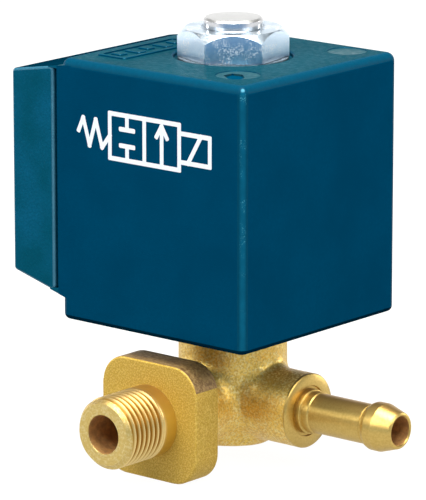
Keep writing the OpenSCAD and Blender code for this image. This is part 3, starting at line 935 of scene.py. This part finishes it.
def coil_nut():
    """Hexagon nut: crisp flats, chamfer arcs above and below, and a countersunk bore."""
    low, high = span("coil_nut", 2)
    corner = NUT_AF / 2 / math.cos(math.pi / 6)
    turns = [NUT_FACING + math.radians(60) * k for k in range(6)]
    hexagon = [(corner * math.cos(t), corner * math.sin(t)) for t in turns]
    nut = rounded_prism("coil_nut", hexagon, 0.3, (low, high), (0.08, 0.08))
    face_r, under_r, reach = NUT_AF / 2 - 0.06, NUT_AF / 2 + 0.85, 2
    under = [(low, 0), (low, under_r), (low + reach * 0.6, under_r + reach)]
    face = [(high - reach * 1.15, face_r + reach), (high, face_r), (high, 0)]
    combine(nut, [lathe("nut_chamfers", [*under, *face], steps=192)], "INTERSECT")
    bore_r, mouth_r, sink = STUD_R + 0.05, STUD_R + 1.5, 0.45
    lower = [(low - 1, 0), (low - 1, mouth_r), (low + sink, bore_r)]
    upper = [(high - sink, bore_r), (high + 1, mouth_r), (high + 1, 0)]
    combine(nut, [lathe("nut_bore", [*lower, *upper], steps=160)])
    return piece(nut, "nut", [ZINC], ["coil_nut"], sharp=18)


# ---- Coil case, terminal housing and blades ----

HOUSING_X = span("terminal_housing", 0)
HOUSING_Z = span("terminal_housing", 2)
CASE_X = span("coil_case", 0)
CASE_Y = span("coil_case", 1)
CASE_Z = span("coil_case", 2)
CASE_TOP_Z = CASE_Z[1]
CASE_ROUND = 1.2
CASE_WALL = 1.6
CASE_ROOF = 1.8
WINDOW_Y = (-11, 11)
WINDOW_Z = (20, 41)
WINDOW_GAP = 0.1
RECESS_R = 8.0
RECESS_Z = span("coil_washer", 2)[0]
BORE_R = 5.1
PAD = 0.48
GROOVE = 1.15

# Sunk round marks on the top: their places and radii
FRONT_MARK = (9.46, -10.37, 3.0)
RIGHT_MARK = (9.9, 11.84, 2.7)
MARK_DEPTH = 0.14
ARROW_AZIMUTH = 40.1

LABEL_X = (CASE_X[0] + 2.5, CASE_X[0] + 7.6)
LABEL_Y = (CASE_Y[0] + 4.5, CASE_Y[0] + 20.0)
LABEL_LINE = 0.6
LABEL_BARS = 5


def wedge(left, right):
    """Corners of the terminal housing's tapered outline between two places along x."""
    tip, root = HOUSING_X[0], CASE_X[0] - GROOVE

    def at(x, tip_z, root_z):
        return (x, tip_z + (root_z - tip_z) * (x - tip) / (root - tip))

    lower = (HOUSING_Z[0] + 2.3, HOUSING_Z[0] + 0.3)
    upper = (HOUSING_Z[1] - 1.95, HOUSING_Z[1] - 0.7)
    corners = [at(right, *lower), at(right, *upper), at(left, *upper), at(left, *lower)]
    return [(x, min(z, CASE_TOP_Z - 0.7 * CASE_ROUND)) for x, z in corners]


def label_relief():
    """Raised generic frame with plain bars, where the moulded lettering would be."""
    height, edges = (CASE_TOP_Z - 0.3, CASE_TOP_Z + 0.22), (0, 0.12)
    (left, right), (front, back), line = LABEL_X, LABEL_Y, LABEL_LINE
    border = rounded_prism("label_frame", rectangle(LABEL_X, LABEL_Y), 0.7, height, edges)
    inner = rectangle((left + line, right - line), (front + line, back - line))
    combine(border, [rounded_prism("label_inner", inner, 0.4, (CASE_TOP_Z - 1, CASE_TOP_Z + 1))])
    bars = []
    pitch = (back - front - 1.6) / LABEL_BARS
    for k in range(LABEL_BARS):
        start = front + 1.5 + k * pitch
        end = left + (3.9 if k % 2 else 3.0)
        bar = rectangle((left + 1.2, end), (start, start + pitch * 0.6))
        bars.append(rounded_prism("label_bar", bar, 0.3, height, edges))
    return [border, *bars]


def mark_cutters():
    """The two round marks, and a small pointer sunk deeper in the front one."""
    cutters = []
    floor_z, above = CASE_TOP_Z - MARK_DEPTH, CASE_TOP_Z + 0.5
    for x, y, r in (FRONT_MARK, RIGHT_MARK):
        sunk = [(floor_z, 0), (floor_z, r - 0.08, 0.04), (above, r + 0.1), (above, 0)]
        cutters.append(lathe("mark", rounded(sunk), steps=96, centre=(x, y, 0)))
    right, ahead = direction(ARROW_AZIMUTH + 90, 0), direction(ARROW_AZIMUTH + 180, 0)
    middle = Vector((*FRONT_MARK[:2], 0))
    figure = [(-1.9, 0.4), (-1.3, -1.9), (0.1, -2.5), (0.9, -1.5), (0.6, 0.9), (-0.7, 1.7)]
    corners = [tuple(middle + right * u + ahead * v)[:2] for u, v in figure]
    return [*cutters, rounded_prism("arrow", corners, 0.25, (CASE_TOP_Z - 0.4, CASE_TOP_Z + 1))]


def nut_seat():
    """Cutter of the round recess that the washer and the nut sit in."""
    top = CASE_TOP_Z
    wall = [(RECESS_Z, 0), (RECESS_Z, RECESS_R, 0.15), (top - 0.2, RECESS_R, 0.1)]
    lip = [(top, RECESS_R + 0.2, 0.05), (top + 2, RECESS_R + 1.2), (top + 2, 0)]
    return lathe("seat", rounded([*wall, *lip]), steps=192)


def case_finish(centre, normal):
    """Finish of a face of the case: marks, underside in painted shade, left side and insides, rounded edges
    with painted highlight, top or sides.
    """
    marks = (FRONT_MARK, RIGHT_MARK)
    in_mark = any(math.hypot(centre.x - x, centre.y - y) < r for x, y, r in marks)
    if in_mark and abs(centre.z - CASE_TOP_Z + MARK_DEPTH) < 0.05:
        return CASE_MARK
    # Undersides take the darker copy of the plastic as painted shade.
    if centre.z < CASE_Z[0] + 1 and normal.z < -0.1:
        return CASE_PAINTED_SHADE
    if (in_mark and centre.z < CASE_TOP_Z - 0.15) or centre.x < CASE_X[0] - 0.01:
        return CASE
    # Rounded edges take the edge material with its painted highlight.
    if max(abs(c) for c in normal) < 0.99:
        return CASE_EDGE
    return CASE_TOP if normal.z > 0.5 else CASE


def coil_case():
    """Moulded case: rounded edges, a sunk seat for the nut, round marks and a window for the terminals."""
    outline = rectangle(CASE_X, CASE_Y)
    case = rounded_prism("coil_case", outline, CASE_ROUND, CASE_Z, (0.8, CASE_ROUND), arc=11)
    pad = rounded_prism("pad", wedge(CASE_X[0] - PAD, CASE_X[0] + 2), 0.05, CASE_Y, axis="y")
    join(case, [pad, *label_relief()])
    inside = rectangle(
        (CASE_X[0] + CASE_WALL, CASE_X[1] - CASE_WALL), (CASE_Y[0] + CASE_WALL, CASE_Y[1] - CASE_WALL)
    )
    cavity = rounded_prism("cavity", inside, 0.3, (CASE_Z[0] - 1, CASE_TOP_Z - CASE_ROOF))
    hole = drill("hole", BORE_R, 0, 60, steps=96)
    window = block("window", (CASE_X[0] - 2, CASE_X[0] + 3), WINDOW_Y, WINDOW_Z, 0.4)
    combine(case, [cavity, nut_seat(), hole, window, *mark_cutters()])
    finishes = [CASE, CASE_TOP, CASE_EDGE, CASE_MARK, CASE_PAINTED_SHADE]
    return piece(case, "coil", finishes, ["coil_case"], sharp=40, pick=case_finish)


BAY_HALF_Y = 9.6
BAY_Z = (21.4, 39.6)
BAY_WALL = 1.6
BAY_FLOOR = HOUSING_X[1] - BAY_WALL
BAY_FLARE = 0.75
RIB_Z = (27.2, 28.6)
BLADE_T = 0.8
BLADE_W = 6.3
BLADE_CHAMFER = 1.1
POWER_Y = 5.2
POWER_Z = 32.7
EARTH_Z = 24.4


def housing_neck(root):
    """Neck behind the housing, cut back at its front and back, and the spigot in the case's window."""
    x = (root - 0.9, CASE_X[0] - PAD - 0.02)
    neck = rounded_prism("neck", wedge(*x), 0.05, (CASE_Y[0] + 0.05, CASE_Y[1] - 0.05), axis="y")
    outline = rectangle((root - 1, x[1] + 0.1), (HOUSING_Z[0] + 0.9, HOUSING_Z[1] - 1.0))
    combine(neck, [rounded_prism("groove", outline, 0.02, about(end, 2.2), axis="y") for end in CASE_Y])
    y = (WINDOW_Y[0] + WINDOW_GAP, WINDOW_Y[1] - WINDOW_GAP)
    z = (WINDOW_Z[0] + WINDOW_GAP, WINDOW_Z[1] - WINDOW_GAP)
    return [neck, block("spigot", (x[0], HOUSING_X[1]), y, z, 0.4)]


def terminal_housing():
    """Tapered connector housing, open on its left for push-on receptacles."""
    tip, root = HOUSING_X[0], CASE_X[0] - GROOVE
    shell = rounded_prism("terminal_housing", wedge(tip, root), 0.6, CASE_Y, (0.45, 0.45), axis="y")
    join(shell, housing_neck(root))
    bay_y = (-BAY_HALF_Y, BAY_HALF_Y)
    bay = block("bay", (tip - 1, BAY_FLOOR), bay_y, BAY_Z, 0.9, (0, 0.3))
    flare = block("flare", (tip - 0.3, tip + 0.45), bay_y, BAY_Z, 0.9, grow=(BAY_FLARE, 0))
    through = (BAY_FLOOR - 1, HOUSING_X[1] + 1)
    slots = [block("slot", through, about(y, BLADE_T), about(POWER_Z, BLADE_W)) for y in (-POWER_Y, POWER_Y)]
    slots.append(block("slot", through, about(0, BLADE_W), about(EARTH_Z, BLADE_T)))
    combine(shell, [bay, flare, *slots])
    rib_x = (tip + BAY_WALL, BAY_FLOOR + 0.3)
    ribs_y = (0.3 - BAY_HALF_Y, BAY_HALF_Y - 0.3)
    join(shell, [block("rib", rib_x, about(y, 1), RIB_Z, 0.3, (0.25, 0)) for y in ribs_y])

    def finish(centre, normal):
        outside = abs(centre.y) > BAY_HALF_Y + 1 or not BAY_Z[0] - 1 <= centre.z <= BAY_Z[1] + 1
        # The housing's top, bottom and neck take the darker copy of the plastic as painted shade.
        if outside and (abs(normal.z) > 0.9 or (centre.x > root + 0.02 and abs(centre.y) < CASE_Y[1] - 0.1)):
            return CASE_PAINTED_SHADE
        # Rounded edges outside the bay take the lighter edge copy as painted highlight.
        edge = max(abs(c) for c in normal) < 0.99 and abs(normal.y) > 0.05
        return HOUSING_EDGE if outside and edge else HOUSING

    finishes = [HOUSING, HOUSING_EDGE, CASE_PAINTED_SHADE]
    return piece(shell, "coil", finishes, ["terminal_housing"], sharp=40, pick=finish)


def blade_outline(tip, tail, middle=0):
    """Push-on blade seen flat, with a chamfered tip."""
    low, high = about(middle, BLADE_W)
    slope = tip + BLADE_CHAMFER
    front = [(tip, high - BLADE_CHAMFER), (tip, low + BLADE_CHAMFER)]
    return [*front[1:], (slope, low), (tail, low), (tail, high), (slope, high), front[0]]


def blade_hole(tip, y, z, axis):
    """Detent hole with countersunk rims, 3.2 mm from the tip."""
    low, high = about(y if axis == "y" else z, BLADE_T)
    below = [(low - 0.5, 0), (low - 0.5, 1.5), (low + 0.2, 0.8)]
    above = [(high - 0.2, 0.8), (high + 0.5, 1.5), (high + 0.5, 0)]
    centre = (tip + 3.2, 0, z) if axis == "y" else (tip + 3.2, y, 0)
    return lathe("blade_hole", [*below, *above], axis=axis, steps=48, centre=centre)


def blades():
    """Two power blades on edge, and an earth blade lying flat with a leg down to the yoke."""
    edges = (0.14, 0.14)
    for name, y in (("line_blade", -POWER_Y), ("neutral_blade", POWER_Y)):
        tip, tail = span(name, 0)
        outline = blade_outline(tip, tail, POWER_Z)
        made = rounded_prism(name, outline, 0.2, about(y, BLADE_T), edges, axis="y", arc=5)
        combine(made, [blade_hole(tip, y, POWER_Z, "y")])
        piece(made, "coil", [TIN], [name], sharp=35)
    tip, tail = span("earth_blade", 0)
    made = rounded_prism("earth_blade", blade_outline(tip, tail), 0.2, about(EARTH_Z, BLADE_T), edges, arc=5)
    leg_z = (span("earth_blade", 2)[0], EARTH_Z + BLADE_T / 2)
    foot = rectangle((tail - BLADE_T, tail), about(0, BLADE_W))
    join(made, [rounded_prism("leg", foot, 0.14, leg_z, edges, arc=5)])
    combine(made, [blade_hole(tip, 0, EARTH_Z, "z")])
    piece(made, "coil", [TIN], ["earth_blade"], sharp=35)


# ---- Printed valve symbol ----

INK_T = 0.02
LINE_W = 0.62


def polyline(points):
    """Round-ended lines of ink through (x, z) points on the case's front face."""
    strokes = []
    for a, b in zip(points, points[1:]):
        a, b = np.array(a, float), np.array(b, float)
        reach = (b - a) / np.linalg.norm(b - a) * LINE_W / 2
        side = np.array([-reach[1], reach[0]])
        corners = [a - reach - side, b + reach - side, b + reach + side, a - reach + side]
        ends = (CASE_Y[0] - INK_T, CASE_Y[0] + 0.2)
        strokes.append(rounded_prism("line", corners, LINE_W * 0.3, ends, axis="y", arc=4))
    return strokes


def box_lines(x, z):
    """Closed rectangle of ink lines."""
    corners = rectangle(x, z)
    return polyline([*corners, corners[0]])


def valve_symbol():
    """The standard drawing symbol of a two-way valve: spring, closed position, open position and coil."""
    size, pitch, inset = 6.0, 1.1, 1.1
    base, left = CASE_TOP_Z - 12.3, CASE_X[0] + 3.4
    top = base + size
    shut_x = (left + 5 * pitch, left + 5 * pitch + size)
    open_x = (shut_x[1], shut_x[1] + size)
    coil_x = (open_x[1], open_x[1] + 5.2)
    coil_z = (base + inset, top - inset)
    lines = box_lines(shut_x, (base, top)) + box_lines(open_x, (base, top)) + box_lines(coil_x, coil_z)
    lines += polyline([(coil_x[0] + 1.5, coil_z[0]), (coil_x[1] - 1.5, coil_z[1])])
    middle = sum(open_x) / 2
    lines += polyline([(middle, base), (middle, top - 1.2)])
    lines += polyline([(middle - 0.9, top - 2.1), (middle, top - 0.6), (middle + 0.9, top - 2.1)])
    middle = sum(shut_x) / 2
    for start, bar in ((base, base + 1.9), (top, top - 1.9)):
        lines += polyline([(middle, start), (middle, bar)])
        lines += polyline([(middle - 1.1, bar), (middle + 1.1, bar)])
    zigzag = [(left + pitch * (k + 0.75), base + 1.2 if k % 2 else top - 1.2) for k in range(4)]
    lines += polyline([(left, base + size / 2), *zigzag, (shut_x[0], base + size / 2)])
    made = join(lines[0], lines[1:])
    made.name = "valve_symbol"
    return piece(made, "coil", [INK], sharp=30)


# ---- Return spring, and the CAD nodes that stay ----


def return_spring():
    """Compression spring with closed ends."""
    foot, top = span("return_spring", 2)
    mean_r, wire_r, turns, dead = 1.85, 0.25, 6.5, 0.75
    rings, sides = 260, 12
    points = []
    for i in range(rings):
        turn = turns * i / (rings - 1)
        share = min(max((turn - dead) / (turns - 2 * dead), 0), 1)
        height = foot + wire_r + (top - foot - 2 * wire_r) * share
        around = math.tau * turn
        for j in range(sides):
            side = math.tau * j / sides
            out = mean_r + wire_r * math.cos(side)
            points.append((out * math.cos(around), out * math.sin(around), height + wire_r * math.sin(side)))
    spring = tube("return_spring", points, sides)
    made = piece(spring, "plunger", [TUBE], ["return_spring"])
    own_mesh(made)
    return made


KEPT = (
    (TUBE, ["tube_base", "armature_tube"]),
    (COPPER, ["shading_ring", "copper_winding", "winding_leads"]),
    (RUBBER, ["body_o_ring", "plunger_seal"]),
    (CASE, ["case_base"]),
    (BOBBIN, ["bobbin"]),
    (TAPE, ["winding_tape"]),
    (SHEET, ["yoke_frame", "yoke_base", "flux_sleeve_upper", "flux_sleeve_lower"]),
    (STUD, ["plunger"]),
)


def finish_kept_nodes():
    """Gives the CAD nodes whose shape is right their material."""
    for finish, names in KEPT:
        for name in names:
            data = frame["nodes"][name].data
            data.materials.clear()
            data.materials.append(finish)


# ---- Studio ----

CAMERA_AZIMUTH = 40.1
CAMERA_ELEVATION = 13.4
CAMERA_DISTANCE = 573.6
CAMERA_LENS = 307.5
CAMERA_AIM = (-2.06, -1.72, 20.02)
LIGHT_AIM = (0, 0, 20)
TENT_OPENING = 40.1
FRONT_GLOW = (0.045, 0.24, 0.52, 1)


def aimed(name, data, aim, azimuth, elevation, distance):
    """Puts a camera or a lamp at a distance from the place that it looks at, both in millimetres."""
    made = bpy.data.objects.new(name, data)
    bpy.context.scene.collection.objects.link(made)
    away = direction(azimuth, elevation)
    made.location = TO_FRAME @ (Vector(aim) + away * distance)
    made.rotation_mode = "QUATERNION"
    made.rotation_quaternion = (-away).to_track_quat("-Z", "Y")
    return made


def camera():
    """The photograph's view: a long lens from the front right."""
    data = bpy.data.cameras.new("camera")
    data.lens = CAMERA_LENS
    data.sensor_width = 36
    data.clip_start, data.clip_end = 0.01, 20
    made = aimed("camera", data, CAMERA_AIM, CAMERA_AZIMUTH, CAMERA_ELEVATION, CAMERA_DISTANCE)
    bpy.context.scene.camera = made


def softbox(name, azimuth, elevation, distance, size, power, colour=(1, 1, 1)):
    """Rectangular area light aimed at the middle of the valve. Its size is in metres, its power in watts."""
    data = bpy.data.lights.new(name, "AREA")
    data.shape = "RECTANGLE"
    data.size, data.size_y = size
    data.energy = power
    data.color = colour
    aimed(name, data, LIGHT_AIM, azimuth, elevation, distance)


def floor_paper():
    """Paper that glows like a light table.

    In reflections it is dimmer close to the valve, and a dim blue in front, as a light tent's open side is.
    """
    f = Finish("floor_paper", (0.09, 0.09, 0.09), 0.9, specular=0)
    from_stem = f.vector("SUBTRACT", f.place, (0, STEM_Y, 0))
    opening = direction(TENT_OPENING, 0)
    ahead = f.add("VectorMath", {0: from_stem, 1: opening}, "Value", operation="DOT_PRODUCT")
    away = f.add("VectorMath", {0: from_stem}, "Value", operation="LENGTH")
    reflected = f.math("SUBTRACT", 1, f.add("LightPath", {}, "Is Camera Ray"))
    open_side = f.times(reflected, f.remap(ahead, 0, 1, 150, 260))
    glow = f.mix(open_side, (1, 1, 1, 1), FRONT_GLOW)
    dimmed = f.times(reflected, f.remap(away, 0.36, 0.05, 80, 320))
    f.fill(f.shader, {"Emission Color": glow, "Emission Strength": f.math("SUBTRACT", 0.96, dimmed)})
    return f.material


def floor():
    """Wide pale disc under the lowest point, turned up at its rim into a low wall."""
    ground, rim = -FLANGE_HALF_Z - 0.02, 2500
    wall = [(ground + 400, rim + 200), (ground + 400, rim + 190)]
    section = [(ground - 2, 0), (ground - 2, rim + 100), *wall, (ground, rim), (ground, 0)]
    made = lathe("floor", section, steps=96)
    made.data.transform(TO_FRAME)
    made.data.materials.append(floor_paper())


def world():
    """Dim, slightly blue surroundings."""
    made = bpy.data.worlds.new("studio")
    made.use_nodes = True
    background = made.node_tree.nodes["Background"]
    background.inputs["Color"].default_value = (0.95, 0.97, 1.0, 1)
    background.inputs["Strength"].default_value = 0.10
    bpy.context.scene.world = made


def studio():
    """Glowing floor in a dim room, lit by softboxes."""
    world()
    floor()
    softbox("left", -16, 36, 900, (0.5, 0.5), 4.6)
    softbox("right", 96, 36, 900, (0.5, 0.5), 4.0)
    softbox("top", 40, 84, 900, (0.6, 0.6), 17.5, (1, 0.99, 0.92))
    softbox("back", 220, 17, 1000, (1.3, 0.45), 1.4)
    softbox("left strip", -80, 10, 700, (0.12, 0.3), 0.9)
    softbox("right strip", 160, 10, 700, (0.12, 0.3), 0.7)
    softbox("glint", 36, 47, 900, (0.1, 0.1), 1.6)
    bpy.context.scene.view_settings.view_transform = "Standard"
    bpy.context.scene.cycles.use_denoising = True


camera()
valve_body()
hose_barb()
stem_core()
coil_washer()
coil_nut()
coil_case()
terminal_housing()
blades()
valve_symbol()
return_spring()
finish_kept_nodes()
studio()

bpy.context.view_layer.update()
